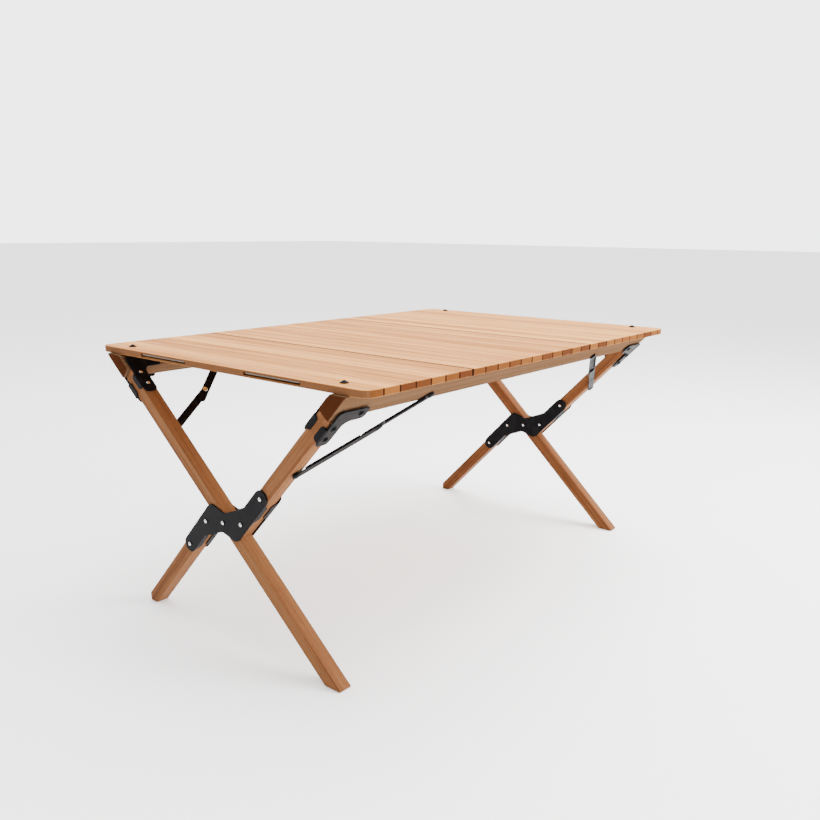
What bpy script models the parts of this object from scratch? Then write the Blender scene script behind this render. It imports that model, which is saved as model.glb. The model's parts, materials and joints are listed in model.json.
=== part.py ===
"""Folding side table: a roll-up slatted top on a crossed-leg folding frame.

Metres, +Z up, floor at Z = 0. The long side of the top runs along X, the short side along Y.
Each end has one long leg that rises to the back rail, and a crossing leg in two halves that
rises to the front rail. The halves sit beside the long leg and are tied by two pivot plates.
"""

import math

import bmesh
import bpy
from mathutils import Matrix, Vector

for old_object in list(bpy.data.objects):
    bpy.data.objects.remove(old_object)

# Top
TOP_LENGTH = 0.900
TOP_WIDTH = 0.600
TOP_HEIGHT = 0.450
TOP_CORNER_RADIUS = 0.018
SLAT_COUNT = 28
SLAT_THICKNESS = 0.0100
SLAT_GAP = 0.0006
OPEN_JOINTS = (7, 18)
OPEN_JOINT_GAP = 0.0020
SLAT_CHAMFER = 0.0005
BELT_SLOT_LENGTH = 0.115
BELT_SLOT_HEIGHT = 0.0050
BELT_SLOT_Y = 0.125
KNOB_X = 0.427
KNOB_Y = 0.2405
KNOB_RADIUS = 0.0062
KNOB_HEIGHT = 0.0042
KNOB_SHANK_RADIUS = 0.0022
KNOB_SHANK_BELOW_SLAT = 0.0045
KNOB_HOLE_DEPTH = 0.0200

# Wooden frame
FIT_GAP = 0.0003
LEG_DEPTH = 0.0232
LEG_WIDTH = 0.0240
WOOD_ROUND = 0.0016
RAIL_ROUND = 0.0032
RAIL_PROUD = 0.0065
PIVOT_HEIGHT = 0.2068
LONG_LEG_SLOPE = math.radians(42.1)
SPLIT_LEG_SLOPE = math.radians(46.7)
SPLIT_OFFSET = 0.0264
RAIL_DROP = 0.0375
FOOT_TIP_Y = {"long": 0.2430, "split": 0.2335}

# Metal fittings
SHEET = 0.0018
HOLE_GAP = 0.0003
RIVET_RADIUS = 0.0025
RIVET_HEAD = 0.0050
RIVET_DOME = 0.0020
DOME_SHOULDER = (0.60, 0.75)
HEAD_STEM = 0.50
RIVET_NEAR = 0.0353
RIVET_FAR = 0.1058
PIVOT_PLATE = 0.0025
PIVOT_PLATE_TIP_ROUND = 0.0130
LIP_DEPTH = 0.0080
LIP_START = 0.058
LIP_END = 0.104
LIP_SLOPE = 0.008
LIP_SHEET = 0.0016
CORNER_PLATE_DEPTH = {"outer": 0.0045, "inner": 0.0026}
CORNER_LEG_ARM = 0.050
CORNER_RAIL_ARM = 0.059
CORNER_RAIL_COVER = 0.0230
CORNER_INSET = 0.0005
CORNER_TIP_ROUND = 0.007
CORNER_ELBOW_ROUND = 0.012
CORNER_RIVET_HEAD = 0.0046
CORNER_LEG_RIVETS = (0.014, 0.037)
CORNER_RAIL_RIVET_X = 0.404
CORNER_RAIL_RIVET_RISE = 0.0115
EAR_DEPTH = {"outer": 0.0055, "inner": 0.0075}
EAR_TOP = 0.013
EAR_BOTTOM = 0.040
EAR_CUT = 0.0035
STAY_WIDTH = 0.0132
STAY_LEG_PIVOT = 0.1222
STAY_RAIL_X = 0.2530
STAY_RAIL_RISE = 0.0122
STAY_ELBOW_SHARE = 0.60
STAY_ELBOW_SAG = {"front": 0.0010, "back": 0.0090}
STAY_TAIL = 0.022
STAY_LEG_LEVEL = 0.0030
STAY_RAIL_LEVEL = 0.0009
STAY_FLANGE_STAND_OFF = 0.0008
STAY_FLANGE_START = {"leg": 0.016, "rail": 0.012}
STAY_FLANGE_STOP = {"leg": 0.030, "rail": 0.010}
PIN_SINK = 0.0008

# Pins of a stay: widths as shares of half the link's width, rises above the link in metres
LEG_PIN = {"dome": 0.50, "head": 0.95, "shank": 0.75, "dome_rise": 0.0014, "rim_rise": 0.0004}
ELBOW_PIN = {"dome": 0.40, "head": 0.70, "shank": 0.40, "dome_rise": 0.0012, "rim_rise": 0.0004}
RAIL_PIN = {"dome": 0.50, "head": 0.80, "shank": 0.60, "dome_rise": 0.0019, "rim_rise": 0.0011}

# The two crossing leg planes: +1 leans to the back (long legs), -1 to the front (split legs).
BACK = 1
FRONT = -1
SLOPE = {BACK: LONG_LEG_SLOPE, FRONT: SPLIT_LEG_SLOPE}
HALF_DEPTH = LEG_DEPTH / 2
LEG_X = TOP_LENGTH / 2 - LEG_WIDTH / 2
SLAT_PITCH = TOP_LENGTH / SLAT_COUNT
RAIL_TOP = TOP_HEIGHT - SLAT_THICKNESS - FIT_GAP
ENDS = {"left": -1, "right": 1}
UPPER_LINE = {BACK: 0.0, FRONT: SPLIT_OFFSET}


def make_material(name, color, roughness, metallic=0.0):
    material = bpy.data.materials.new(name)
    material.use_nodes = True
    shader = material.node_tree.nodes["Principled BSDF"]
    shader.inputs["Base Color"].default_value = (*color, 1.0)
    shader.inputs["Roughness"].default_value = roughness
    shader.inputs["Metallic"].default_value = metallic
    return material


TOP_WOOD = make_material("top_beech", (0.70, 0.48, 0.30), 0.55)
FRAME_WOOD = make_material("frame_beech", (0.46, 0.22, 0.10), 0.50)
BLACK_METAL = make_material("black_metal", (0.022, 0.022, 0.024), 0.45, 0.6)
KNOB_BLACK = make_material("knob_black", (0.015, 0.015, 0.015), 0.50)


def make_object(name, bm, material, parent=None):
    """Turn a bmesh into a named object, with its faces pointing out."""
    bmesh.ops.recalc_face_normals(bm, faces=bm.faces)
    mesh = bpy.data.meshes.new(name)
    bm.to_mesh(mesh)
    bm.free()
    piece = bpy.data.objects.new(name, mesh)
    bpy.context.scene.collection.objects.link(piece)
    if material:
        mesh.materials.append(material)
    piece.parent = parent
    return piece


def make_empty(name, location, angle_about_x=0.0):
    empty = bpy.data.objects.new(name, None)
    empty.location = location
    empty.rotation_euler = (angle_about_x, 0.0, 0.0)
    empty.empty_display_size = 0.03
    bpy.context.scene.collection.objects.link(empty)
    return empty


def hide_helper(piece):
    piece.hide_render = True
    piece.display_type = "WIRE"
    return piece


def combine(piece, helper, operation, helper_overlaps=False):
    modifier = piece.modifiers.new(operation.lower(), "BOOLEAN")
    modifier.operation = operation
    modifier.solver = "EXACT"
    modifier.use_self = helper_overlaps
    modifier.object = helper


def round_edges(piece, width, segments):
    modifier = piece.modifiers.new("rounded edges", "BEVEL")
    modifier.width = width
    modifier.segments = segments
    modifier.limit_method = "ANGLE"
    modifier.angle_limit = math.radians(40)


def add_prism(bm, loop, offset):
    """Add the closed solid between a flat loop and its copy moved by offset; return its base."""
    low = [bm.verts.new(point) for point in loop]
    high = [bm.verts.new(point + offset) for point in loop]
    base = bm.faces.new(low)
    bm.faces.new(high)
    for i, vertex in enumerate(low):
        j = (i + 1) % len(low)
        bm.faces.new((vertex, low[j], high[j], high[i]))
    return base


def add_turned(bm, origin, axis, profile, segments):
    """Add a turned solid: profile holds (radius, height along axis), with radius 0 at both ends."""
    side = axis.orthogonal().normalized()
    other = axis.cross(side)
    rings = []
    for radius, height in profile:
        centre = origin + axis * height
        if radius == 0:
            rings.append([bm.verts.new(centre)])
            continue
        ring = []
        for k in range(segments):
            turn = 2 * math.pi * k / segments
            ring.append(bm.verts.new(centre + radius * (math.cos(turn) * side + math.sin(turn) * other)))
        rings.append(ring)
    for low, high in zip(rings, rings[1:]):
        for k in range(segments):
            n = (k + 1) % segments
            if len(low) == 1:
                bm.faces.new((low[0], high[k], high[n]))
            elif len(high) == 1:
                bm.faces.new((low[k], low[n], high[0]))
            else:
                bm.faces.new((low[k], low[n], high[n], high[k]))


def add_cylinder(bm, origin, axis, radius, start, end, segments=12):
    add_turned(bm, origin, axis, [(0, start), (radius, start), (radius, end), (0, end)], segments)


def rounded_outline(corners, steps=4):
    """Replace each corner (x, y, radius) of a flat outline by an arc tangent to its two sides."""
    outline = []
    count = len(corners)
    for i, (x, y, radius) in enumerate(corners):
        corner = Vector((x, y))
        before = (Vector(corners[i - 1][:2]) - corner).normalized()
        after = (Vector(corners[(i + 1) % count][:2]) - corner).normalized()
        if radius == 0:
            outline.append(corner)
            continue
        half = before.angle(after) / 2
        centre = corner + (before + after).normalized() * (radius / math.sin(half))
        first = corner + before * (radius / math.tan(half)) - centre
        last = corner + after * (radius / math.tan(half)) - centre
        sweep = first.angle_signed(last)
        for k in range(steps + 1):
            outline.append(centre + Matrix.Rotation(-sweep * k / steps, 2) @ first)
    return outline


def in_frame(side, x, s, t):
    """A point of a leg plane: s runs up the leg from the pivot, t out of its lower face."""
    return Vector((x, s, -side * t))


def rail_foot(side):
    """How far up its leg plane a rail's lower edge lies."""
    outer_face = UPPER_LINE[side] + HALF_DEPTH
    rise = RAIL_TOP - RAIL_DROP - PIVOT_HEIGHT
    return (rise + outer_face * math.cos(SLOPE[side])) / math.sin(SLOPE[side])


def height_cut(side, height, t):
    """How far up its leg plane the line at offset t reaches the given height."""
    return (height - PIVOT_HEIGHT + t * math.cos(SLOPE[side])) / math.sin(SLOPE[side])


FRAME_EMPTY = {
    BACK: make_empty("long_leg_frame", (0, 0, PIVOT_HEIGHT), LONG_LEG_SLOPE),
    FRONT: make_empty("split_leg_frame", (0, 0, PIVOT_HEIGHT), math.pi - SPLIT_LEG_SLOPE),
}


def rivet_axes(end):
    """The five rivets of a pivot plate: the pivot and two through each leg half."""
    spots = [(0, 0), (RIVET_NEAR, SPLIT_OFFSET), (RIVET_FAR, SPLIT_OFFSET)]
    spots += [(-s, -t) for s, t in spots[1:]]
    return [in_frame(FRONT, end * LEG_X, s, t) for s, t in spots]


def make_rivet_holes(end_name, end):
    bm = bmesh.new()
    for centre in rivet_axes(end):
        reach = LEG_WIDTH
        add_cylinder(bm, centre, Vector((end, 0, 0)), RIVET_RADIUS + HOLE_GAP, -reach, reach)
    return hide_helper(make_object("cut_rivet_holes_" + end_name, bm, None, FRAME_EMPTY[FRONT]))


def make_wood_bar(name, side, loop, x_low, x_high, holes, rounding):
    bm = bmesh.new()
    add_prism(bm, [in_frame(side, x_low, s, t) for s, t in loop], Vector((x_high - x_low, 0, 0)))
    bar = make_object(name, bm, FRAME_WOOD, FRAME_EMPTY[side])
    round_edges(bar, rounding, 2)
    if holes:
        combine(bar, holes, "DIFFERENCE")
    return bar


def beside_long_leg(t, way):
    """How far up the split leg plane the line at offset t meets the long leg's face, plus the gap."""
    slopes = LONG_LEG_SLOPE + SPLIT_LEG_SLOPE
    return (way * (HALF_DEPTH + FIT_GAP) + t * math.cos(slopes)) / math.sin(slopes)


def foot_loop(side, line, tip_y, top_of_line):
    """Outline of a leg that ends on the floor, with its sharp outer tip cut off upright."""
    cos_slope = math.cos(SLOPE[side])
    sin_slope = math.sin(SLOPE[side])
    near_t = line + HALF_DEPTH
    far_t = line - HALF_DEPTH
    tip_on_floor = (-tip_y * cos_slope - PIVOT_HEIGHT * sin_slope,
                    PIVOT_HEIGHT * cos_slope - tip_y * sin_slope)
    tip_on_face = (-(tip_y + far_t * sin_slope) / cos_slope, far_t)
    return [(top_of_line(near_t), near_t), (height_cut(side, 0, near_t), near_t), tip_on_floor,
            tip_on_face, (top_of_line(far_t), far_t)]


def make_legs(end_name, end, holes):
    x_low = end * LEG_X - LEG_WIDTH / 2
    x_high = x_low + LEG_WIDTH
    low_t = SPLIT_OFFSET - HALF_DEPTH
    high_t = SPLIT_OFFSET + HALF_DEPTH
    top_front = rail_foot(FRONT) - FIT_GAP
    upper_loop = [(beside_long_leg(low_t, 1), low_t), (top_front, low_t), (top_front, high_t),
                  (beside_long_leg(high_t, 1), high_t)]
    long_loop = foot_loop(BACK, 0.0, FOOT_TIP_Y["long"], lambda t: rail_foot(BACK) - FIT_GAP)
    lower_loop = foot_loop(FRONT, -SPLIT_OFFSET, FOOT_TIP_Y["split"], lambda t: beside_long_leg(t, -1))
    make_wood_bar("long_leg_" + end_name, BACK, long_loop, x_low, x_high, holes, WOOD_ROUND)
    make_wood_bar("upper_half_leg_" + end_name, FRONT, upper_loop, x_low, x_high, holes, WOOD_ROUND)
    make_wood_bar("lower_half_leg_" + end_name, FRONT, lower_loop, x_low, x_high, holes, WOOD_ROUND)


def make_rail(name, side, holes):
    inner = UPPER_LINE[side] - HALF_DEPTH
    outer = UPPER_LINE[side] + HALF_DEPTH
    bottom = rail_foot(side)
    loop = [(bottom, inner), (bottom, outer), (height_cut(side, RAIL_TOP, outer), outer),
            (height_cut(side, RAIL_TOP, inner), inner)]
    end_x = TOP_LENGTH / 2 + RAIL_PROUD
    make_wood_bar(name, side, loop, -end_x, end_x, holes, RAIL_ROUND)


def pivot_plate_outline():
    """Crank-shaped outline in (s, t): an arm along each leg half and a bulge over the long leg."""
    arm_low = SPLIT_OFFSET - HALF_DEPTH - FIT_GAP - LIP_SHEET
    arm_high = SPLIT_OFFSET + HALF_DEPTH + FIT_GAP + LIP_SHEET
    tip = RIVET_FAR + (arm_high - arm_low) / 2
    tip_round = PIVOT_PLATE_TIP_ROUND
    half = [
        (-0.0135, 0.0087, 0.012),
        (-0.0040, 0.0280, 0.014),
        (0.0000, arm_high, 0.015),
        (tip, arm_high, tip_round),
        (tip, arm_low, tip_round),
        (0.0600, arm_low, 0.022),
    ]
    return rounded_outline(half + [(-s, -t, radius) for s, t, radius in half])


def add_lips(bm, x_face, inward):
    """Add the folded lips that hold a leg half between them, on both arms of a pivot plate."""
    sink = PIVOT_PLATE / 2
    for arm in (1, -1):
        for edge in (HALF_DEPTH + FIT_GAP, -HALF_DEPTH - FIT_GAP - LIP_SHEET):
            t = arm * SPLIT_OFFSET + edge
            loop = [(LIP_START, -sink), (LIP_END, -sink), (LIP_END, 0.0),
                    (LIP_END - LIP_SLOPE, LIP_DEPTH), (LIP_START + LIP_SLOPE, LIP_DEPTH),
                    (LIP_START, 0.0)]
            points = [in_frame(FRONT, x_face + inward * depth, arm * s, t) for s, depth in loop]
            add_prism(bm, points, in_frame(FRONT, 0, 0, LIP_SHEET))


def make_pivot_plates(end_name, end):
    """Both plates of one end. The rivets are closed at both ends, so they go with the outer one."""
    outline = pivot_plate_outline()
    outer_face = end * (LEG_X + LEG_WIDTH / 2 + FIT_GAP)
    inner_face = end * (LEG_X - LEG_WIDTH / 2 - FIT_GAP)
    outward = Vector((end, 0, 0))
    for name, face, way in (("outer", outer_face, outward), ("inner", inner_face, -outward)):
        bm = bmesh.new()
        add_prism(bm, [in_frame(FRONT, face, s, t) for s, t in outline], way * PIVOT_PLATE)
        plate = make_object("pivot_plate_" + name + "_" + end_name, bm, BLACK_METAL,
                            FRAME_EMPTY[FRONT])
        bm = bmesh.new()
        add_lips(bm, face, -way.x)
        lips = hide_helper(make_object("join_lips_" + name + "_" + end_name, bm, None,
                                       FRAME_EMPTY[FRONT]))
        combine(plate, lips, "UNION")
        if name == "outer":
            bm = bmesh.new()
            for centre in rivet_axes(end):
                add_rivet(bm, centre, outward)
            rivets = hide_helper(make_object("join_rivets_" + end_name, bm, None, FRAME_EMPTY[FRONT]))
            combine(plate, rivets, "UNION")
        else:
            combine(plate, HOLES[end_name], "DIFFERENCE")


def add_rivet(bm, centre, outward):
    """A rivet with a domed head on each side, its shank through both plates and the leg."""
    plate_out = LEG_WIDTH / 2 + FIT_GAP + PIVOT_PLATE
    inner_head = -plate_out - FIT_GAP
    shoulder = DOME_SHOULDER[0] * RIVET_HEAD
    rise = DOME_SHOULDER[1] * RIVET_DOME
    profile = [(0, plate_out + RIVET_DOME), (shoulder, plate_out + rise), (RIVET_HEAD, plate_out),
               (RIVET_HEAD, plate_out - PIVOT_PLATE / 2), (RIVET_RADIUS, plate_out - PIVOT_PLATE / 2),
               (RIVET_RADIUS, inner_head), (RIVET_HEAD, inner_head), (shoulder, inner_head - rise),
               (0, inner_head - RIVET_DOME)]
    add_turned(bm, centre, outward, profile, 12)


def add_head(bm, side, x, s, surface, way, radius, below):
    """A domed rivet head on a fitting's outer skin, with a stem that stops at the wood."""
    axis = in_frame(side, 0, 0, way)
    stem = HEAD_STEM * radius
    profile = [(0, RIVET_DOME), (DOME_SHOULDER[0] * radius, DOME_SHOULDER[1] * RIVET_DOME), (radius, 0),
               (radius, -SHEET / 2), (stem, -SHEET / 2), (stem, -below), (0, -below)]
    add_turned(bm, in_frame(side, x, s, surface), axis, profile, 10)


def make_corner_plate(name, side, end, layer):
    """A pressed L plate over the joint of a rail and a leg, with an ear round the leg's end face."""
    way = 1 if layer == "outer" else -1
    depth = CORNER_PLATE_DEPTH[layer]
    face = UPPER_LINE[side] + way * (HALF_DEPTH + FIT_GAP)
    surface = face + way * depth
    base = rail_foot(side)
    x_out = end * (TOP_LENGTH / 2 - CORNER_INSET)
    x_leg = end * (TOP_LENGTH / 2 - LEG_WIDTH + CORNER_INSET)
    x_rail = end * (TOP_LENGTH / 2 - CORNER_RAIL_ARM)
    corners = [
        (x_out, base - CORNER_LEG_ARM, CORNER_TIP_ROUND),
        (x_out, base + CORNER_RAIL_COVER, CORNER_TIP_ROUND),
        (x_rail, base + CORNER_RAIL_COVER, CORNER_TIP_ROUND),
        (x_rail, base - CORNER_INSET, CORNER_TIP_ROUND),
        (x_leg, base - CORNER_INSET, CORNER_ELBOW_ROUND),
        (x_leg, base - CORNER_LEG_ARM, CORNER_TIP_ROUND),
    ]
    bm = bmesh.new()
    loop = [in_frame(side, x, s, face) for x, s in rounded_outline(corners)]
    push = in_frame(side, 0, 0, way * depth)
    floor = add_prism(bm, loop, push)
    bmesh.ops.inset_region(bm, faces=[floor], thickness=SHEET, use_even_offset=True)
    bmesh.ops.translate(bm, verts=floor.verts, vec=push * (1 - SHEET / depth))
    plate = make_object(name, bm, BLACK_METAL, FRAME_EMPTY[side])

    bm = bmesh.new()
    spots = [(end * LEG_X, base - below) for below in CORNER_LEG_RIVETS]
    spots.append((end * CORNER_RAIL_RIVET_X, base + CORNER_RAIL_RIVET_RISE))
    for x, s in spots:
        add_head(bm, side, x, s, surface, way, CORNER_RIVET_HEAD, depth)
    add_ear(bm, side, end, base, way, face, surface, EAR_DEPTH[layer])
    extras = hide_helper(make_object("join_" + name, bm, None, FRAME_EMPTY[side]))
    combine(plate, extras, "UNION", helper_overlaps=True)


def add_ear(bm, side, end, base, way, face, surface, depth):
    """Add a corner plate's ear and the strip that joins it to the plate's skin."""
    low = base - EAR_BOTTOM
    high = base - EAR_TOP
    skin = surface - way * CORNER_INSET
    shoulder = face - way * depth / 2
    edge = face - way * depth
    ear_x = end * (TOP_LENGTH / 2 + FIT_GAP)
    ear = [(low, skin), (high, skin), (high, shoulder), (high - EAR_CUT, edge), (low + EAR_CUT, edge),
           (low, shoulder)]
    add_prism(bm, [in_frame(side, ear_x, s, t) for s, t in ear], Vector((end * SHEET, 0, 0)))
    strip_x = end * (TOP_LENGTH / 2 - CORNER_INSET - SHEET)
    strip_end = ear_x + end * SHEET / 2
    deep = surface - way * SHEET
    strip = [in_frame(side, strip_x, s, t) for s, t in ((low, skin), (high, skin), (high, deep),
                                                       (low, deep))]
    add_prism(bm, strip, Vector((strip_end - strip_x, 0, 0)))


def capsule(start, finish, radius, steps=5):
    """Outline of a bar with round ends between two points in (x, s)."""
    run = (finish - start).normalized()
    outline = []
    for centre, heading in ((finish, run), (start, -run)):
        for k in range(steps + 1):
            turn = math.pi * (k / steps - 0.5)
            outline.append(centre + Matrix.Rotation(-turn, 2) @ heading * radius)
    return outline


def add_flange(bm, side, start, finish, upward, level_low, level_high):
    """Add the stiffening flange along a link's upper edge, between two levels off the wood."""
    edge = upward * (STAY_WIDTH / 2 - FIT_GAP)
    inner = upward * (STAY_WIDTH / 2 - FIT_GAP - SHEET)
    loop = [start + inner, finish + inner, finish + edge, start + edge]
    points = [in_frame(side, x, s, level_low) for x, s in loop]
    add_prism(bm, points, in_frame(side, 0, 0, level_high - level_low))


def add_stay_pin(bm, side, spot, wood, pin, top, foot):
    """A pin with a domed head on a link whose outer face is at level top, and its shank down to foot."""
    dome, head, shank = (pin[part] * STAY_WIDTH / 2 for part in ("dome", "head", "shank"))
    crown = top + pin["dome_rise"]
    profile = [(0, crown), (dome, crown), (head, top + pin["rim_rise"]), (head, top - PIN_SINK),
               (shank, top - PIN_SINK), (shank, foot), (0, foot)]
    add_turned(bm, in_frame(side, spot.x, spot.y, wood), in_frame(side, 0, 0, 1), profile, 12)


def upper_normal(start, finish):
    """The direction square to a link in (x, s) that points up the leg plane."""
    run = (finish - start).normalized()
    normal = Vector((-run.y, run.x))
    return normal if normal.y > 0 else -normal


def make_link(name, side, start, finish, level, flange, pins):
    """A stay link: a flat bar, its flange (start, finish, two levels) and its pins (spot, kind, foot)."""
    wood = UPPER_LINE[side] + HALF_DEPTH
    bm = bmesh.new()
    loop = [in_frame(side, x, s, wood + level) for x, s in capsule(start, finish, STAY_WIDTH / 2)]
    add_prism(bm, loop, in_frame(side, 0, 0, SHEET))
    link = make_object(name, bm, BLACK_METAL, FRAME_EMPTY[side])
    bm = bmesh.new()
    flange_start, flange_finish, low, high = flange
    add_flange(bm, side, flange_start, flange_finish, upper_normal(start, finish), wood + low,
               wood + high)
    for spot, pin, foot in pins:
        add_stay_pin(bm, side, spot, wood, pin, level + SHEET, foot)
    extras = hide_helper(make_object("join_" + name, bm, None, FRAME_EMPTY[side]))
    combine(link, extras, "UNION")
    return link


def make_stay(where, side, end_name, end):
    """A two-link stay on a leg's lower face: a leg link and a rail link pinned at the elbow."""
    base = rail_foot(side)
    leg_pin = Vector((end * LEG_X, base - STAY_LEG_PIVOT))
    rail_pin = Vector((end * STAY_RAIL_X, base + STAY_RAIL_RISE))
    sag = upper_normal(leg_pin, rail_pin) * STAY_ELBOW_SAG[where]
    elbow = leg_pin.lerp(rail_pin, STAY_ELBOW_SHARE) - sag
    run_low = (elbow - leg_pin).normalized()
    run_up = (rail_pin - elbow).normalized()
    tag = where + "_" + end_name
    leg_top = STAY_LEG_LEVEL + SHEET
    rail_top = STAY_RAIL_LEVEL + SHEET
    leg_flange = (leg_pin + run_low * STAY_FLANGE_START["leg"], elbow - run_low * STAY_FLANGE_STOP["leg"],
                  STAY_FLANGE_STAND_OFF, leg_top - SHEET / 2)
    make_link("stay_leg_link_" + tag, side, leg_pin, elbow, STAY_LEG_LEVEL, leg_flange,
              [(leg_pin, LEG_PIN, FIT_GAP), (elbow, ELBOW_PIN, 2 * FIT_GAP)])
    rail_flange = (elbow + run_up * STAY_FLANGE_START["rail"],
                   rail_pin - run_up * STAY_FLANGE_STOP["rail"], rail_top - SHEET / 2, leg_top)
    rail_link = make_link("stay_rail_link_" + tag, side, elbow - run_up * STAY_TAIL, rail_pin,
                          STAY_RAIL_LEVEL, rail_flange, [(rail_pin, RAIL_PIN, FIT_GAP)])
    wood = UPPER_LINE[side] + HALF_DEPTH
    bm = bmesh.new()
    add_cylinder(bm, in_frame(side, elbow.x, elbow.y, wood), in_frame(side, 0, 0, 1),
                 ELBOW_PIN["shank"] * STAY_WIDTH / 2 + HOLE_GAP, -STAY_LEG_LEVEL, leg_top)
    hole = hide_helper(make_object("cut_elbow_" + tag, bm, None, FRAME_EMPTY[side]))
    combine(rail_link, hole, "DIFFERENCE")


def make_box(bm, low, high):
    loop = [Vector((low[0], low[1], low[2])), Vector((high[0], low[1], low[2])),
            Vector((high[0], high[1], low[2])), Vector((low[0], high[1], low[2]))]
    add_prism(bm, loop, Vector((0, 0, high[2] - low[2])))


def joint_gap(number):
    """The gap at the joint to the right of a slat. Two joints stand a little open."""
    return OPEN_JOINT_GAP if number in OPEN_JOINTS else SLAT_GAP


def make_top():
    """The slats from left to right, each hinged to the next along its upper right edge."""
    bm = bmesh.new()
    middle = TOP_HEIGHT - SLAT_THICKNESS / 2
    for y in (-BELT_SLOT_Y, BELT_SLOT_Y):
        make_box(bm, (-TOP_LENGTH, y - BELT_SLOT_LENGTH / 2, middle - BELT_SLOT_HEIGHT / 2),
                 (TOP_LENGTH, y + BELT_SLOT_LENGTH / 2, middle + BELT_SLOT_HEIGHT / 2))
    slots = hide_helper(make_object("cut_belt_slots", bm, None))
    bm = bmesh.new()
    for x in (-KNOB_X, KNOB_X):
        for y in (-KNOB_Y, KNOB_Y):
            add_cylinder(bm, Vector((x, y, TOP_HEIGHT)), Vector((0, 0, 1)),
                         KNOB_SHANK_RADIUS + 2 * HOLE_GAP, -KNOB_HOLE_DEPTH, KNOB_HEIGHT)
    knob_holes = hide_helper(make_object("cut_knob_holes", bm, None))

    next_slat = None
    for number in range(SLAT_COUNT, 0, -1):
        hinge_x = -TOP_LENGTH / 2 + number * SLAT_PITCH
        left = -SLAT_PITCH + joint_gap(number - 1) / 2
        right = -joint_gap(number) / 2
        left_radius = 0
        right_radius = 0
        if number == 1:
            left = -SLAT_PITCH
            left_radius = TOP_CORNER_RADIUS
        if number == SLAT_COUNT:
            right = 0
            right_radius = TOP_CORNER_RADIUS
        half = TOP_WIDTH / 2
        outline = rounded_outline([(left, -half, left_radius), (right, -half, right_radius),
                                   (right, half, right_radius), (left, half, left_radius)], 6)
        bm = bmesh.new()
        add_prism(bm, [Vector((x, y, -SLAT_THICKNESS)) for x, y in outline],
                  Vector((0, 0, SLAT_THICKNESS)))
        slat = make_object("slat_%02d" % number, bm, TOP_WOOD, next_slat)
        slat.location = (-SLAT_PITCH, 0, 0) if next_slat else (hinge_x, 0, TOP_HEIGHT)
        round_edges(slat, SLAT_CHAMFER, 1)
        combine(slat, slots, "DIFFERENCE")
        if number in (1, SLAT_COUNT):
            combine(slat, knob_holes, "DIFFERENCE")
        next_slat = slat
    return knob_holes


def make_knobs():
    shank_end = -SLAT_THICKNESS - KNOB_SHANK_BELOW_SLAT
    profile = [(0, KNOB_HEIGHT), (0.30 * KNOB_RADIUS, 0.94 * KNOB_HEIGHT),
               (0.90 * KNOB_RADIUS, 0.36 * KNOB_HEIGHT), (KNOB_RADIUS, 0.20 * KNOB_HEIGHT),
               (KNOB_RADIUS, FIT_GAP), (KNOB_SHANK_RADIUS, FIT_GAP), (KNOB_SHANK_RADIUS, shank_end),
               (0, shank_end)]
    for end_name, end in ENDS.items():
        for where, y in (("front", -KNOB_Y), ("back", KNOB_Y)):
            bm = bmesh.new()
            add_turned(bm, Vector((0, 0, 0)), Vector((0, 0, 1)), profile, 16)
            knob = make_object("knob_" + where + "_" + end_name, bm, KNOB_BLACK)
            knob.location = (end * KNOB_X, y, TOP_HEIGHT)


KNOB_HOLES = make_top()
make_knobs()
HOLES = {end_name: make_rivet_holes(end_name, end) for end_name, end in ENDS.items()}
make_rail("rail_front", FRONT, KNOB_HOLES)
make_rail("rail_back", BACK, KNOB_HOLES)
for END_NAME, END in ENDS.items():
    make_legs(END_NAME, END, HOLES[END_NAME])
    make_pivot_plates(END_NAME, END)
    for WHERE, SIDE in (("front", FRONT), ("back", BACK)):
        for LAYER in ("outer", "inner"):
            make_corner_plate("corner_plate_" + LAYER + "_" + WHERE + "_" + END_NAME, SIDE, END, LAYER)
        make_stay(WHERE, SIDE, END_NAME, END)
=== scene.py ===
"""Looks for the folding side table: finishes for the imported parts, and the fine pieces on them."""

import json
import math

import bmesh
import bpy
from mathutils import Matrix, Vector

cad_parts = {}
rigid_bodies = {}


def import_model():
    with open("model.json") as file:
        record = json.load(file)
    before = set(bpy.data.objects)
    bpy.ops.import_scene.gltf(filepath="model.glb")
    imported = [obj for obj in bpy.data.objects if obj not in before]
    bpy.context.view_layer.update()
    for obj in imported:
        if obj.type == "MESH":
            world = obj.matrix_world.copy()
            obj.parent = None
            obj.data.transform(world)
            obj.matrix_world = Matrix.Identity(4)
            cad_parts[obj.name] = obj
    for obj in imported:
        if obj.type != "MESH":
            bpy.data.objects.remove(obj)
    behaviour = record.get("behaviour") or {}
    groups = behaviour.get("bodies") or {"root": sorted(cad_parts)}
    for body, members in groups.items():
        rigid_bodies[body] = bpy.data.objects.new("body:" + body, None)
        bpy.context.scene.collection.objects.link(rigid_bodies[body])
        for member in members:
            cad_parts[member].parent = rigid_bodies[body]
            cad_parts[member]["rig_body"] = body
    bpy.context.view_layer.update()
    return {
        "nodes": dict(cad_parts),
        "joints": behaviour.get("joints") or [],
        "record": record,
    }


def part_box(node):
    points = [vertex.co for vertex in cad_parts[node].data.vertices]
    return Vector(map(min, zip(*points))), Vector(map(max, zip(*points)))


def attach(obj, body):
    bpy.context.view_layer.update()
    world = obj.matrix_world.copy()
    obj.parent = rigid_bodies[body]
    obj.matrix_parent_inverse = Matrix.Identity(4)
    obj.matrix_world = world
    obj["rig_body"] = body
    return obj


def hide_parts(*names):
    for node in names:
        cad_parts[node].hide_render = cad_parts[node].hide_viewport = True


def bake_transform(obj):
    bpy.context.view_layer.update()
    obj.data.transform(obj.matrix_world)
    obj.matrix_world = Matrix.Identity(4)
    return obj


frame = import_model()
NODES = frame["nodes"]
NODE_SLOT = {entry["node"]: entry["material_slot"] for entry in frame["record"]["subparts"]}
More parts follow.
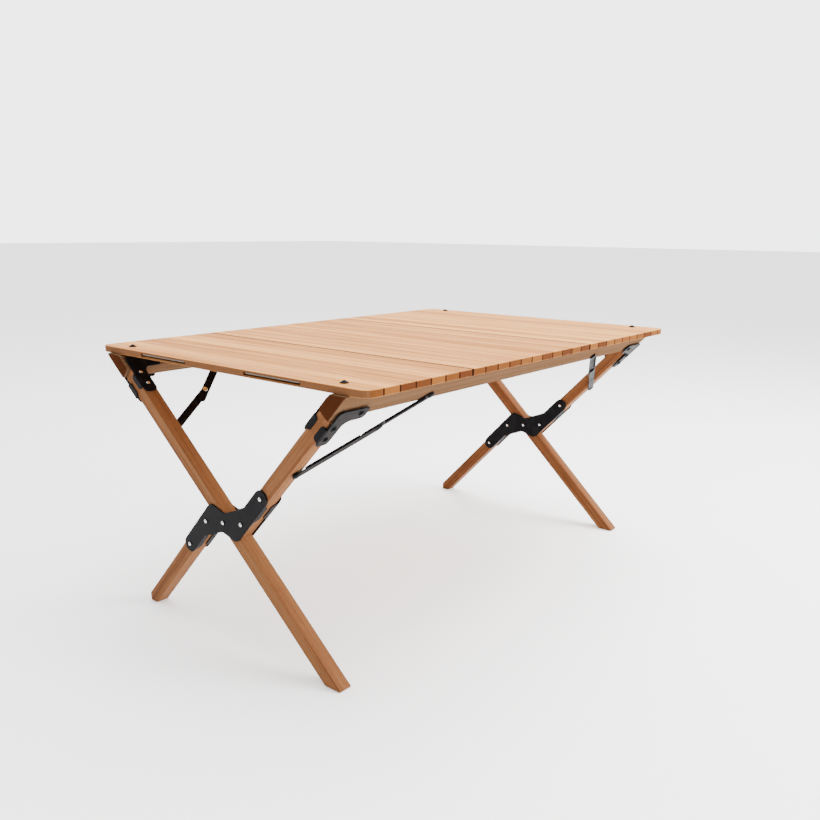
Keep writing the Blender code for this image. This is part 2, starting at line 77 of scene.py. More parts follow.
JOINTS = {joint["name"]: joint for joint in frame["joints"]}

# Camera: seen from the front left, above the top
CAMERA_PLACE = Vector((-1.1564, -0.9449, 0.6361))
CAMERA_YAW = math.radians(50.31)
CAMERA_PITCH = math.radians(-20.53)
CAMERA_ROLL = math.radians(0.53)
CAMERA_LENS = 34.67
CAMERA_SHIFT = (0.0092, 0.1393)

# Places that the frame gives
TOP_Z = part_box("slat_14")[1].z
SLAT_NAMES = sorted(name for name in NODES if name.startswith("slat_"))
SLAT_COUNT = len(SLAT_NAMES)
TOP_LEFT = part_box(SLAT_NAMES[0])[0].x
TOP_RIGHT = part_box(SLAT_NAMES[-1])[1].x
SLAT_PITCH = (TOP_RIGHT - TOP_LEFT) / SLAT_COUNT
PIVOT_HEIGHT = JOINTS["leg_cross"]["pos_m"][2]

# Ends along X, sides along Y, and the two faces of a leg or of a leg plane
ENDS = {"left": -1, "right": 1}
BACK = 1
FRONT = -1
SIDES = {"back": BACK, "front": FRONT}
LAYERS = {"outer": 1, "inner": -1}

# Sizes of the part, in metres and radians
SLOPE = {BACK: math.radians(42.1), FRONT: math.radians(46.7)}
LEG_DEPTH = 0.0232
LEG_WIDTH = 0.0240
HALF_DEPTH = LEG_DEPTH / 2
LEG_X = TOP_RIGHT - LEG_WIDTH / 2
SPLIT_OFFSET = 0.0264
LEG_LINE = {BACK: 0.0, FRONT: SPLIT_OFFSET}
FIT_GAP = 0.0003
PIVOT_PLATE = 0.0025
CORNER_DEPTH = {"outer": 0.0045, "inner": 0.0026}
STAY_LINK_FACES = {"outer": 0.0048, "inner": 0.0009}
STAY_LEG_PIVOT = 0.1222
STAY_RAIL_SPOT = (0.2530, 0.0122)
STAY_ELBOW_SHARE = 0.60
STAY_ELBOW_SAG = 0.0090

# Rivets of a pivot plate: how far up the leg, and on which half leg (1 upper, -1 lower, 0 the centre)
PLATE_RIVETS = ((0.0, 0.0), (0.0353, 1.0), (0.1058, 1.0), (-0.0353, -1.0), (-0.1058, -1.0))
# Rivets of a corner plate: how far below the joint on the leg, then the one on the rail as (x, up)
CORNER_LEG_RIVETS = (0.014, 0.037)
CORNER_RAIL_RIVET = (0.404, 0.0115)

# The two belts, with six stations across each joint between slats, as shares of BELT_BEND
BELT_Y = 0.125
BELT_WIDTH = 0.109
BELT_LAYER = 0.0016
BELT_Z = TOP_Z - 0.0042
BELT_FOLD_Z = BELT_Z + 1.1 * BELT_LAYER
BELT_BEND = 0.0025
BELT_BEND_STEPS = (-1.0, -0.6, -0.2, 0.2, 0.6, 1.0)
BELT_END_INSET = 0.0012

# Turned pieces: each outline as (radius, height) points
CAP_PROFILE = ((0.0, 0.0001), (0.0034, 0.0001), (0.0035, 0.0008), (0.0031, 0.0015), (0.0023, 0.0021),
               (0.0012, 0.0025), (0.0, 0.0026))
EYELET_PROFILE = ((0.0, 0.0004), (0.0046, 0.0004), (0.0048, 0.0014), (0.0042, 0.0021), (0.0034, 0.0022),
                  (0.0026, 0.0016), (0.0020, 0.0013), (0.0, 0.0013))
KNOB_PROFILE = ((0.0, 0.0042), (0.0008, 0.0041), (0.0018, 0.0036), (0.0032, 0.0026), (0.0050, 0.0016),
                (0.0060, 0.0011), (0.0062, 0.0007), (0.0061, 0.0004), (0.0022, 0.0003))
KNOB_SHANK = 0.0022
CAP_SEGMENTS = 24
KNOB_SEGMENTS = 40

# Smoothing: angles in degrees, lengths in metres
SOFT_ANGLE = 35
TURNED_ANGLE = 50
FLAT_ANGLE = 1.0
MERGE_DISTANCE = 0.00001
METAL_EDGE = 0.0003

# Colours. Beech tones are light and dark for the long faces, then light and dark for the end grain.
TOP_TONES = ((0.56, 0.255, 0.070), (0.31, 0.113, 0.024), (0.17, 0.060, 0.013), (0.075, 0.021, 0.006))
LEG_TONES = ((0.212, 0.093, 0.038), (0.105, 0.036, 0.014), (0.18, 0.07, 0.03), (0.11, 0.037, 0.015))
RAIL_TONES = ((0.135, 0.076, 0.042), (0.098, 0.050, 0.025), (0.060, 0.020, 0.008), (0.04, 0.012, 0.005))
# Slat side faces: painted shade for the gaps between slats, together with a darker oiled side grain
TOP_SIDE_TONE_AND_SHADE = (0.150, 0.064, 0.027)
# Painted shade in the joints between slats, near black
TOP_JOINT_SHADE = (0.030, 0.010, 0.004)
STEEL_TONES = ((0.70, 0.70, 0.69), (0.48, 0.48, 0.48))
WEBBING_TONES = ((0.10, 0.065, 0.045), (0.24, 0.175, 0.135))
FLOOR_TONES = ((0.93, 0.93, 0.93), (0.95, 0.95, 0.95))
WHITE = (1.0, 1.0, 1.0, 1.0)

# Noises: the scale along each axis, then the detail, the roughness and the distortion
TONE_NOISE = ((9.0, 0.8, 9.0), 1.0)
STREAK_NOISE = ((230.0, 5.0, 230.0), 5.0, 0.6, 0.3)
BAND_NOISE = ((55.0, 1.6, 55.0), 2.0, 0.5, 0.6)
FLECK_NOISE = ((1900.0, 190.0, 1900.0), 1.0, 0.4)
RING_NOISE = ((240.0, 4.0, 900.0), 3.0, 0.6, 1.2)
PEEL_NOISE = ((1400.0, 1400.0, 1400.0), 2.0, 0.6)
CLOUD_NOISE = ((45.0, 45.0, 45.0), 3.0, 0.6)
SCRATCH_NOISE = ((600.0, 2600.0, 2600.0), 3.0)
FUZZ_NOISE = ((900.0, 900.0, 900.0), 3.0)
FLOOR_NOISE = ((0.8, 0.8, 0.8), 2.0)

# Weights: how much each value counts where several are added
STREAK_WEIGHT = 0.45
BAND_WEIGHT = 0.35
TONE_WEIGHT = 0.20
END_TONE_WEIGHT = 0.80
END_RING_WEIGHT = 0.35
STREAK_HEIGHT = 0.6
WEAVE_WEIGHT = 0.25
PORE_SHARE = 0.45
PORE_DARKNESS = 0.45
WEAR_SHARE = 0.8

# Ranges: where a smooth step starts and ends
FLECK_RANGE = (0.62, 0.72)
GRAIN_RANGE = (0.34, 0.66)
END_GRAIN_RANGE = (0.25, 0.95)
EDGE_FACING = (0.30, 0.85)
END_FACING = (0.80, 0.97)
RAIL_END_FACING = (0.35, 0.75)
SHINE_RANGE = (0.3, 0.7)
WEAR_RANGE = (0.40, 0.75)
WEAVE_RANGE = (0.2, 0.9)

# Joints between slats: the width of painted shade at each side, and the joints that stand slightly open
JOINT_SHADE = 0.0021
OPEN_JOINTS = (7, 18)
OPEN_JOINT_SHADE = (0.0021, 0.0031)
# How far the grain moves per slat: along it by its tone, and through the wood by its number
GRAIN_SHIFT = (5.0, 3.7)

# Shine. A spread is what the noise takes off and adds to a roughness.
SATIN_SPECULAR = 0.012
RAIL_SPECULAR = 0.0
COATING_SPECULAR = 0.035
WOOD_SPREAD = (-0.06, 0.10)
COATING_SPREAD = (-0.07, 0.09)
STEEL_ROUGHNESS = (0.10, 0.26)
WEBBING_ROUGHNESS = 0.92
WEBBING_SHEEN = 0.3
WEAVE_PER_METRE = (5200.0, 4200.0)
FLOOR_ROUGHNESS = 0.9
FLOOR_GLOW = 0.3

# Bumps: the depth in metres, then the strength
WOOD_BUMP = (0.0002, 0.35)
COATING_BUMP = (0.00008, 0.5)
STEEL_BUMP = (0.00004, 0.4)
WEBBING_BUMP = (0.0003, 0.6)

# Studio
FLOOR_SIZE = 30.0
FLOOR_Z = -0.0004
WORLD_BRIGHT_SIDE = (0.77, 0.64, 0.0)
WORLD_TURN = (-0.25, 0.65)
WORLD_CLIMB = (0.15, 0.85)
WORLD_DIM = 0.45
WORLD_BRIGHT = 4.2
WORLD_ABOVE = 1.6
LIGHT_TARGET = (0, 0, 0.3)


# Materials

def new_material(name):
    material = bpy.data.materials.new(name)
    material.use_nodes = True
    tree = material.node_tree
    return material, tree, tree.nodes["Principled BSDF"]


def add_node(tree, kind, **values):
    node = tree.nodes.new(kind)
    for key, value in values.items():
        setattr(node, key, value)
    return node


def fill(tree, socket, value):
    """Give a socket a number, a colour or another socket's output."""
    if isinstance(value, (int, float)):
        socket.default_value = value
    elif isinstance(value, tuple):
        socket.default_value = (*value, 1.0)
    else:
        tree.links.new(value, socket)


def calculate(tree, operation, *values):
    """A Math node. Each value is a socket or a number."""
    node = add_node(tree, "ShaderNodeMath", operation=operation)
    for socket, value in zip(node.inputs, values):
        fill(tree, socket, value)
    return node.outputs[0]


def mix_colors(tree, factor, first, second):
    node = add_node(tree, "ShaderNodeMix", data_type="RGBA")
    for socket, value in zip((node.inputs[0], node.inputs[6], node.inputs[7]), (factor, first, second)):
        fill(tree, socket, value)
    return node.outputs[2]


def ramp(tree, value, low, high, start, end):
    """Map a value from start..end to low..high, smoothly and clamped."""
    node = add_node(tree, "ShaderNodeMapRange", interpolation_type="SMOOTHSTEP")
    for socket, number in zip(node.inputs[:5], (value, start, end, low, high)):
        fill(tree, socket, number)
    return node.outputs[0]


def split_vector(tree, vector):
    node = add_node(tree, "ShaderNodeSeparateXYZ")
    tree.links.new(vector, node.inputs[0])
    return node.outputs


def stretched_noise(tree, vector, scale, detail, roughness=0.55, distortion=0.0):
    """Noise on object coordinates, with its own scale along each axis."""
    mapping = add_node(tree, "ShaderNodeMapping")
    mapping.inputs["Scale"].default_value = scale
    tree.links.new(vector, mapping.inputs["Vector"])
    noise = add_node(tree, "ShaderNodeTexNoise")
    noise.inputs["Scale"].default_value = 1.0
    noise.inputs["Detail"].default_value = detail
    noise.inputs["Roughness"].default_value = roughness
    noise.inputs["Distortion"].default_value = distortion
    tree.links.new(mapping.outputs[0], noise.inputs["Vector"])
    return noise.outputs["Fac"]


def add_bump(tree, shader, height, depth, strength):
    bump = add_node(tree, "ShaderNodeBump")
    bump.inputs["Distance"].default_value = depth
    bump.inputs["Strength"].default_value = strength
    tree.links.new(height, bump.inputs["Height"])
    tree.links.new(bump.outputs[0], shader.inputs["Normal"])


def turned(tree, vector, turn, kind="POINT"):
    mapping = add_node(tree, "ShaderNodeMapping", vector_type=kind)
    mapping.inputs["Rotation"].default_value = turn
    tree.links.new(vector, mapping.inputs["Vector"])
    return mapping.outputs[0]


def distance_to(tree, value, mark):
    return calculate(tree, "ABSOLUTE", calculate(tree, "SUBTRACT", value, mark))


def closed_joint_shade_mask(tree, x, along):
    """Where painted shade lies: 1 beside each joint between two slats, 0 elsewhere. along counts the
    slats from the left.
    """
    to_joint = distance_to(tree, along, calculate(tree, "ROUND", along))
    near = ramp(tree, to_joint, 1.0, 0.0, 0.5 * JOINT_SHADE / SLAT_PITCH, JOINT_SHADE / SLAT_PITCH)
    last_joint = (TOP_RIGHT - TOP_LEFT - SLAT_PITCH) / 2
    away = calculate(tree, "ABSOLUTE", x)
    inside = ramp(tree, away, 1.0, 0.0, last_joint, last_joint + SLAT_PITCH / 2)
    return calculate(tree, "MULTIPLY", near, inside)


def open_joint_shade_mask(tree, x):
    """Where painted shade lies: 1 beside the joints that stand slightly open, 0 elsewhere."""
    steps = []
    for number in OPEN_JOINTS:
        away = distance_to(tree, x, TOP_LEFT + number * SLAT_PITCH)
        steps.append(ramp(tree, away, 1.0, 0.0, *OPEN_JOINT_SHADE))
    return calculate(tree, "MAXIMUM", *steps)


def slat_places(tree, coords, place):
    """Give each slat its own stretch of grain. Also return its tone, and the painted shade beside its
    closed and open joints.
    """
    x = split_vector(tree, coords.outputs["Object"])[0]
    along = calculate(tree, "DIVIDE", calculate(tree, "SUBTRACT", x, TOP_LEFT), SLAT_PITCH)
    number = calculate(tree, "FLOOR", along)
    chance = add_node(tree, "ShaderNodeTexWhiteNoise", noise_dimensions="1D")
    tree.links.new(number, chance.inputs["W"])
    tone = chance.outputs[0]
    move = add_node(tree, "ShaderNodeCombineXYZ")
    tree.links.new(calculate(tree, "MULTIPLY", tone, GRAIN_SHIFT[0]), move.inputs[1])
    tree.links.new(calculate(tree, "MULTIPLY", number, GRAIN_SHIFT[1]), move.inputs[2])
    shifted = add_node(tree, "ShaderNodeVectorMath", operation="ADD")
    tree.links.new(place, shifted.inputs[0])
    tree.links.new(move.outputs[0], shifted.inputs[1])
    return shifted.outputs[0], tone, closed_joint_shade_mask(tree, x, along), open_joint_shade_mask(tree, x)


def long_grain(tree, place, tone, streaks, pores, light, dark):
    """The colour along the grain: fine streaks, broad bands and short dark flecks."""
    bands = stretched_noise(tree, place, *BAND_NOISE)
    share = calculate(tree, "MULTIPLY", streaks, STREAK_WEIGHT)
    share = calculate(tree, "MULTIPLY_ADD", bands, BAND_WEIGHT, share)
    share = calculate(tree, "MULTIPLY_ADD", tone, TONE_WEIGHT, share)
    color = mix_colors(tree, ramp(tree, share, 0.0, 1.0, *GRAIN_RANGE), light, dark)
    pore_color = tuple(PORE_DARKNESS * channel for channel in dark)
    return mix_colors(tree, calculate(tree, "MULTIPLY", pores, PORE_SHARE), color, pore_color)


def end_grain(tree, place, tone, light, dark):
    """The colour of the cut ends."""
    rings = stretched_noise(tree, place, *RING_NOISE)
    share = calculate(tree, "MULTIPLY", tone, END_TONE_WEIGHT)
    share = calculate(tree, "MULTIPLY_ADD", rings, END_RING_WEIGHT, share)
    return mix_colors(tree, ramp(tree, share, 0.0, 1.0, *END_GRAIN_RANGE), light, dark)


def beech(name, tones, turn, roughness, slats=False, end_facing=END_FACING, specular=SATIN_SPECULAR):
    """Oiled beech, with darker end grain.

    turn is the rotation that lays the grain along Y. With slats, each slat has a tone of its own, and
    painted shade darkens their side faces and the joints between them.
    end_facing is how far a face must turn along the grain before it shows end grain, from not at all
    to fully.
    """
    light, dark, end_light, end_dark = tones
    material, tree, shader = new_material(name)
    coords = add_node(tree, "ShaderNodeTexCoord")
    place = turned(tree, coords.outputs["Object"], turn)
    if slats:
        place, tone, shade_by_closed_joint, shade_by_open_joint = slat_places(tree, coords, place)
    else:
        tone = stretched_noise(tree, place, *TONE_NOISE)
    streaks = stretched_noise(tree, place, *STREAK_NOISE)
    pores = ramp(tree, stretched_noise(tree, place, *FLECK_NOISE), 0.0, 1.0, *FLECK_RANGE)
    normal = split_vector(tree, turned(tree, coords.outputs["Normal"], turn, "NORMAL"))
    is_end = ramp(tree, calculate(tree, "ABSOLUTE", normal[1]), 0.0, 1.0, *end_facing)
    color = long_grain(tree, place, tone, streaks, pores, light, dark)
    if slats:
        # Painted shade on the slats' side faces for the gaps between them, with a darker side grain
        is_edge = ramp(tree, calculate(tree, "ABSOLUTE", normal[2]), 1.0, 0.0, *EDGE_FACING)
        color = mix_colors(tree, is_edge, color, TOP_SIDE_TONE_AND_SHADE)
    color = mix_colors(tree, is_end, color, end_grain(tree, place, tone, end_light, end_dark))
    # Painted shade at the joints: on the side faces in the closed joints, and on every face beside the
    # open ones
    if slats:
        shaded = calculate(tree, "MULTIPLY", shade_by_closed_joint, is_edge)
        color = mix_colors(tree, calculate(tree, "MAXIMUM", shaded, shade_by_open_joint), color, TOP_JOINT_SHADE)
    tree.links.new(color, shader.inputs["Base Color"])
    smooth, rough = (roughness + change for change in WOOD_SPREAD)
    tree.links.new(ramp(tree, streaks, smooth, rough, *SHINE_RANGE), shader.inputs["Roughness"])
    shader.inputs["Specular IOR Level"].default_value = specular
    height = calculate(tree, "SUBTRACT", calculate(tree, "MULTIPLY", streaks, STREAK_HEIGHT), pores)
    add_bump(tree, shader, height, *WOOD_BUMP)
    return material


def powder_coat(name, color, worn, roughness):
    """Satin black coating with a fine orange peel and a slight change of tone."""
    material, tree, shader = new_material(name)
    coords = add_node(tree, "ShaderNodeTexCoord")
    peel = stretched_noise(tree, coords.outputs["Object"], *PEEL_NOISE)
    cloud = stretched_noise(tree, coords.outputs["Object"], *CLOUD_NOISE)
    wear = ramp(tree, cloud, 0.0, WEAR_SHARE, *WEAR_RANGE)
    tree.links.new(mix_colors(tree, wear, color, worn), shader.inputs["Base Color"])
    smooth, rough = (roughness + change for change in COATING_SPREAD)
    tree.links.new(ramp(tree, cloud, smooth, rough, *SHINE_RANGE), shader.inputs["Roughness"])
    shader.inputs["Specular IOR Level"].default_value = COATING_SPECULAR
    add_bump(tree, shader, peel, *COATING_BUMP)
    return material


def bright_steel(name):
    material, tree, shader = new_material(name)
    coords = add_node(tree, "ShaderNodeTexCoord")
    scratches = stretched_noise(tree, coords.outputs["Object"], *SCRATCH_NOISE)
    tree.links.new(mix_colors(tree, scratches, *STEEL_TONES), shader.inputs["Base Color"])
    tree.links.new(ramp(tree, scratches, *STEEL_ROUGHNESS, *SHINE_RANGE), shader.inputs["Roughness"])
    shader.inputs["Metallic"].default_value = 1.0
    add_bump(tree, shader, scratches, *STEEL_BUMP)
    return material


def webbing(name):
    """Dark brown woven elastic."""
    material, tree, shader = new_material(name)
    coords = add_node(tree, "ShaderNodeTexCoord")
    place = split_vector(tree, coords.outputs["Object"])
    along, across = (calculate(tree, "SINE", calculate(tree, "MULTIPLY", place[axis], pace))
                     for axis, pace in enumerate(WEAVE_PER_METRE))
    weave = calculate(tree, "MULTIPLY", across, along)
    fuzz = stretched_noise(tree, coords.outputs["Object"], *FUZZ_NOISE)
    share = calculate(tree, "MULTIPLY_ADD", weave, WEAVE_WEIGHT, fuzz)
    color = mix_colors(tree, ramp(tree, share, 0.0, 1.0, *WEAVE_RANGE), *WEBBING_TONES)
    tree.links.new(color, shader.inputs["Base Color"])
    shader.inputs["Roughness"].default_value = WEBBING_ROUGHNESS
    shader.inputs["Sheen Weight"].default_value = WEBBING_SHEEN
    add_bump(tree, shader, share, *WEBBING_BUMP)
    return material


def floor_finish():
    material, tree, shader = new_material("floor_paper")
    coords = add_node(tree, "ShaderNodeTexCoord")
    cloud = stretched_noise(tree, coords.outputs["Object"], *FLOOR_NOISE)
    tree.links.new(mix_colors(tree, cloud, *FLOOR_TONES), shader.inputs["Base Color"])
    shader.inputs["Roughness"].default_value = FLOOR_ROUGHNESS
    shader.inputs["Emission Color"].default_value = WHITE
    shader.inputs["Emission Strength"].default_value = FLOOR_GLOW
    return material


TOP_BEECH = beech("top_beech_look", TOP_TONES, (0.0, 0.0, 0.0), 0.50, slats=True)
LONG_BEECH = beech("long_leg_beech", LEG_TONES, (-SLOPE[BACK], 0.0, 0.0), 0.42)
SPLIT_BEECH = beech("split_leg_beech", LEG_TONES, (SLOPE[FRONT] - math.pi, 0.0, 0.0), 0.42)
RAIL_BEECH = beech("rail_beech_look", RAIL_TONES, (0.0, 0.0, math.pi / 2), 0.46,
                   end_facing=RAIL_END_FACING, specular=RAIL_SPECULAR)
COATED = powder_coat("black_powder_coat", (0.004, 0.004, 0.005), (0.011, 0.011, 0.012), 0.42)
KNOB = powder_coat("knob_black_look", (0.002, 0.002, 0.002), (0.005, 0.005, 0.005), 0.55)
STEEL = bright_steel("rivet_steel_look")
WEBBING = webbing("belt_webbing_look")


# Pieces

def body_of(node_name):
    return NODES[node_name]["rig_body"]


def finish_node(name, material):
    piece = NODES[name]
    piece.data.materials.clear()
    piece.data.materials.append(material)


def make_piece(name, bm, material, slot_name, body=None, sharp=SOFT_ANGLE):
    """Turn a bmesh into a smooth shaded piece that rides on a body."""
    bmesh.ops.recalc_face_normals(bm, faces=bm.faces)
    mesh = bpy.data.meshes.new(name)
    bm.to_mesh(mesh)
    bm.free()
    mesh.shade_smooth()
    mesh.set_sharp_from_angle(angle=math.radians(sharp))
    mesh.materials.append(material)
    piece = bpy.data.objects.new(name, mesh)
    bpy.context.scene.collection.objects.link(piece)
    if body:
        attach(piece, body)
    return piece


def refine(node_name, material, width=0.0):
    """Replace a CAD node by its own shape, shaded smoothly, with its edges softened by a width."""
    bm = bmesh.new()
    bm.from_mesh(NODES[node_name].data)
    bmesh.ops.remove_doubles(bm, verts=bm.verts, dist=MERGE_DISTANCE)
    bmesh.ops.dissolve_limit(bm, angle_limit=math.radians(FLAT_ANGLE), verts=bm.verts, edges=bm.edges)
    piece = make_piece(node_name + "_look", bm, material, NODE_SLOT[node_name], body_of(node_name))
    if width:
        bevel = piece.modifiers.new("soft edges", "BEVEL")
        bevel.width = width
        bevel.segments = 2
        bevel.limit_method = "ANGLE"
        bevel.angle_limit = math.radians(SOFT_ANGLE)
        bevel.use_clamp_overlap = True
    weighted = piece.modifiers.new("flat faces", "WEIGHTED_NORMAL")
    weighted.keep_sharp = not width
    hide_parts(node_name)


def add_turned(bm, origin, axis, profile, segments):
    """Add a turned solid: profile holds (radius, height along axis), and starts and ends on the axis."""
    side = axis.orthogonal().normalized()
    other = axis.cross(side)
    rings = []
    for radius, height in profile:
        centre = origin + axis * height
        if radius == 0:
            rings.append([bm.verts.new(centre)])
            continue
        rings.append([bm.verts.new(centre + radius * (math.cos(turn) * side + math.sin(turn) * other))
                      for turn in (2 * math.pi * k / segments for k in range(segments))])
    for low, high in zip(rings, rings[1:]):
        for k in range(segments):
            n = (k + 1) % segments
            if len(low) == 1:
                bm.faces.new((low[0], high[k], high[n]))
            elif len(high) == 1:
                bm.faces.new((low[k], low[n], high[0]))
            else:
                bm.faces.new((low[k], low[n], high[n], high[k]))


def leg_point(side, x, s, t):
    """A point of a leg plane: s runs up the leg from the pivot, t out of its lower face."""
    slope = SLOPE[side]
    return Vector((x, side * (s * math.cos(slope) + t * math.sin(slope)),
                   PIVOT_HEIGHT + s * math.sin(slope) - t * math.cos(slope)))


def lower_normal(side):
    return leg_point(side, 0, 0, 1) - leg_point(side, 0, 0, 0)


def joint_level(side):
    """How far up its leg plane a rail's lower edge lies, from the rail's lowest corner."""
    rail_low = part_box("rail_back" if side == BACK else "rail_front")[0].z
    slope = SLOPE[side]
    face = LEG_LINE[side] + HALF_DEPTH
    return (rail_low - PIVOT_HEIGHT + face * math.cos(slope)) / math.sin(slope)


def add_caps(name, spots, axis, body, profile=CAP_PROFILE, coated=False):
    """One piece with a head at each spot: bright, or coated like the plates."""
    bm = bmesh.new()
    for spot in spots:
        add_turned(bm, spot, axis, profile, CAP_SEGMENTS)
    finish = (COATED, "black_metal") if coated else (STEEL, "rivet_steel")
    make_piece(name, bm, *finish, body, sharp=TURNED_ANGLE)


def make_pivot_caps():
    for end_name, end in ENDS.items():
        for layer, out in LAYERS.items():
            way = out * end
            face = end * LEG_X + way * (LEG_WIDTH / 2 + FIT_GAP + PIVOT_PLATE)
            spots = [leg_point(FRONT, face, s, arm * SPLIT_OFFSET) for s, arm in PLATE_RIVETS]
            plate = "pivot_plate_" + layer + "_" + end_name
            add_caps("rivet_caps_" + plate, spots, Vector((way, 0, 0)), body_of(plate))


def make_corner_caps():
    for where, side in SIDES.items():
        base = joint_level(side)
        for end_name, end in ENDS.items():
            for layer, way in LAYERS.items():
                t = LEG_LINE[side] + way * (HALF_DEPTH + FIT_GAP + CORNER_DEPTH[layer])
                spots = [leg_point(side, end * LEG_X, base - below, t) for below in CORNER_LEG_RIVETS]
                spots.append(leg_point(side, end * CORNER_RAIL_RIVET[0], base + CORNER_RAIL_RIVET[1], t))
                plate = "_".join(("corner_plate", layer, where, end_name))
                add_caps("rivet_caps_" + plate, spots, way * lower_normal(side), body_of(plate),
                         coated=layer == "outer")


def make_elbow_eyelets():
    """A bright eyelet on each face of the back stays' elbows."""
    base = joint_level(BACK)
    for end_name, end in ENDS.items():
        leg_pin = Vector((end * LEG_X, base - STAY_LEG_PIVOT))
        rail_pin = Vector((end * STAY_RAIL_SPOT[0], base + STAY_RAIL_SPOT[1]))
        run = (rail_pin - leg_pin).normalized()
        up = Vector((-run.y, run.x)) if run.x > 0 else Vector((run.y, -run.x))
        elbow = leg_pin.lerp(rail_pin, STAY_ELBOW_SHARE) - up * STAY_ELBOW_SAG
        for layer, way in LAYERS.items():
            spot = leg_point(BACK, elbow.x, elbow.y, HALF_DEPTH + STAY_LINK_FACES[layer])
            add_caps("_".join(("eyelet", layer, "back", end_name)), [spot], way * lower_normal(BACK),
                     body_of("stay_leg_link_back_" + end_name), EYELET_PROFILE)


def make_knobs():
    for name in NODES:
        if not name.startswith("knob_"):
            continue
        low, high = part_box(name)
        centre = (low + high) / 2
        bm = bmesh.new()
        depth = low.z - TOP_Z
        profile = [*KNOB_PROFILE, (KNOB_SHANK, depth), (0.0, depth)]
        add_turned(bm, Vector((centre.x, centre.y, TOP_Z)), Vector((0, 0, 1)), profile, KNOB_SEGMENTS)
        knob = make_piece(name + "_look", bm, KNOB, NODE_SLOT[name], body_of(name), sharp=TURNED_ANGLE)
        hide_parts(name)


def slat_body(number):
    return body_of(SLAT_NAMES[number - 1])


def add_belt_strip(bm, stations, y, centre_z=BELT_Z):
    """A closed strip of webbing through the x stations, with slightly rounded long edges."""
    half = BELT_WIDTH / 2
    half_thickness = BELT_LAYER / 2
    lip = half_thickness / 2
    loops = []
    for x in stations:
        section = ((-half, -lip), (-half + lip, -half_thickness), (half - lip, -half_thickness),
                   (half, -lip), (half, lip), (half - lip, half_thickness),
                   (-half + lip, half_thickness), (-half, lip))
        loops.append([bm.verts.new((x, y + across, centre_z + rise)) for across, rise in section])
    for low, high in zip(loops, loops[1:]):
        for k in range(len(low)):
            n = (k + 1) % len(low)
            bm.faces.new((low[k], low[n], high[n], high[k]))
    bm.faces.new(loops[0])
    bm.faces.new(loops[-1])


def make_belts():
    """Two belts hold the slats: a piece at each joint, and a folded end in each outer slat."""
    for number in range(1, SLAT_COUNT):
        hinge = TOP_LEFT + number * SLAT_PITCH
        bends = [BELT_BEND * share for share in BELT_BEND_STEPS]
        reach = SLAT_PITCH / 2
        bm = bmesh.new()
        for y in (-BELT_Y, BELT_Y):
            add_belt_strip(bm, [hinge + step for step in (-reach, *bends, reach)], y)
        belt = make_piece("belt_joint_%02d" % number, bm, WEBBING, "belt_webbing")
        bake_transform(belt)
    for end_name, mouth, way, number in (("left", TOP_LEFT, 1, 1), ("right", TOP_RIGHT, -1, SLAT_COUNT)):
        first = mouth + way * BELT_END_INSET
        fold = first + way * BELT_LAYER / 2
        last = mouth + way * SLAT_PITCH / 2
        bm = bmesh.new()
        for y in (-BELT_Y, BELT_Y):
            add_belt_strip(bm, [first, fold, last], y)
            add_belt_strip(bm, [fold, last], y, BELT_FOLD_Z)
        make_piece("belt_end_" + end_name, bm, WEBBING, "belt_webbing", slat_body(number))


def finish_wood():
    for name in SLAT_NAMES:
        finish_node(name, TOP_BEECH)
    for name in NODES:
        if name.startswith("long_leg"):
            refine(name, LONG_BEECH)
        elif name.startswith(("upper_half", "lower_half")):
            refine(name, SPLIT_BEECH)
        elif name.startswith("rail_"):
            refine(name, RAIL_BEECH)


def finish_metal():
    for name in NODES:
        if name.startswith(("pivot_plate", "corner_plate", "stay_")):
            refine(name, COATED, METAL_EDGE)


# Studio

def make_floor():
    bm = bmesh.new()
    corners = ((-1, -1), (1, -1), (1, 1), (-1, 1))
    bm.faces.new([bm.verts.new((x * FLOOR_SIZE, y * FLOOR_SIZE, FLOOR_Z)) for x, y in corners])
    mesh = bpy.data.meshes.new("floor")
    bm.to_mesh(mesh)
    bm.free()
    mesh.materials.append(floor_finish())
    floor = bpy.data.objects.new("floor", mesh)
    bpy.context.scene.collection.objects.link(floor)


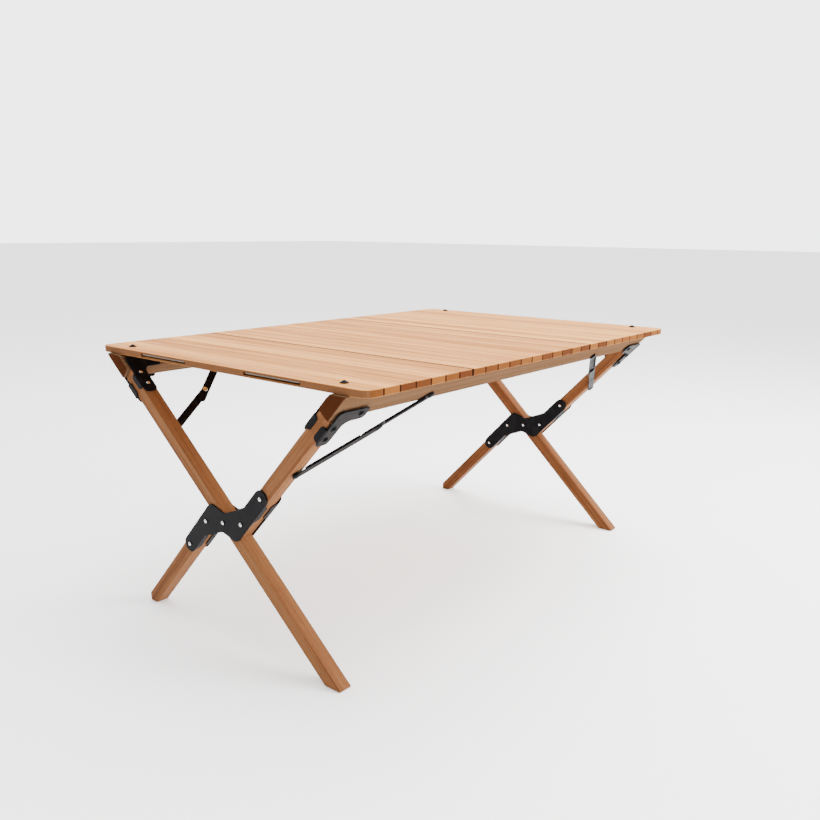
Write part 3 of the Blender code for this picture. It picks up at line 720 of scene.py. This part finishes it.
def make_camera():
    forward = Vector((math.sin(CAMERA_YAW) * math.cos(CAMERA_PITCH),
                      math.cos(CAMERA_YAW) * math.cos(CAMERA_PITCH), math.sin(CAMERA_PITCH)))
    level = Vector((math.cos(CAMERA_YAW), -math.sin(CAMERA_YAW), 0.0))
    rise = level.cross(forward)
    right = math.cos(CAMERA_ROLL) * level + math.sin(CAMERA_ROLL) * rise
    up = math.cos(CAMERA_ROLL) * rise - math.sin(CAMERA_ROLL) * level
    data = bpy.data.cameras.new("camera")
    data.lens = CAMERA_LENS
    data.shift_x, data.shift_y = CAMERA_SHIFT
    camera = bpy.data.objects.new("camera", data)
    turn = Matrix((right, up, -forward)).transposed().to_4x4()
    camera.matrix_world = Matrix.Translation(CAMERA_PLACE) @ turn
    bpy.context.scene.collection.objects.link(camera)
    bpy.context.scene.camera = camera


def add_softbox(name, place, size, power):
    data = bpy.data.lights.new(name, "AREA")
    data.shape = "SQUARE"
    data.size = size
    data.energy = power
    light = bpy.data.objects.new(name, data)
    light.location = place
    aim = Vector(LIGHT_TARGET) - Vector(place)
    light.rotation_euler = aim.to_track_quat("-Z", "Y").to_euler()
    bpy.context.scene.collection.objects.link(light)


def make_world():
    """A pale studio: bright behind the table and above it, dim on its near left side."""
    world = bpy.data.worlds.new("studio")
    world.use_nodes = True
    tree = world.node_tree
    background = tree.nodes["Background"]
    coords = add_node(tree, "ShaderNodeTexCoord")
    facing = add_node(tree, "ShaderNodeVectorMath", operation="DOT_PRODUCT")
    tree.links.new(coords.outputs["Generated"], facing.inputs[0])
    facing.inputs[1].default_value = WORLD_BRIGHT_SIDE
    behind = ramp(tree, facing.outputs["Value"], WORLD_DIM, WORLD_BRIGHT, *WORLD_TURN)
    height = split_vector(tree, coords.outputs["Generated"])[2]
    above = ramp(tree, height, 0.0, 1.0, *WORLD_CLIMB)
    strength = calculate(tree, "MAXIMUM", behind, calculate(tree, "MULTIPLY", above, WORLD_ABOVE))
    tree.links.new(strength, background.inputs[1])
    background.inputs[0].default_value = WHITE
    bpy.context.scene.world = world


def make_lights():
    make_world()
    add_softbox("overhead_softbox", (0.7, -0.3, 2.6), size=2.6, power=165)
    add_softbox("front_right_softbox", (1.4, -2.6, 1.5), size=1.8, power=200)


finish_wood()
finish_metal()
make_pivot_caps()
make_corner_caps()
make_elbow_eyelets()
make_knobs()
make_belts()
make_floor()
make_camera()
make_lights()
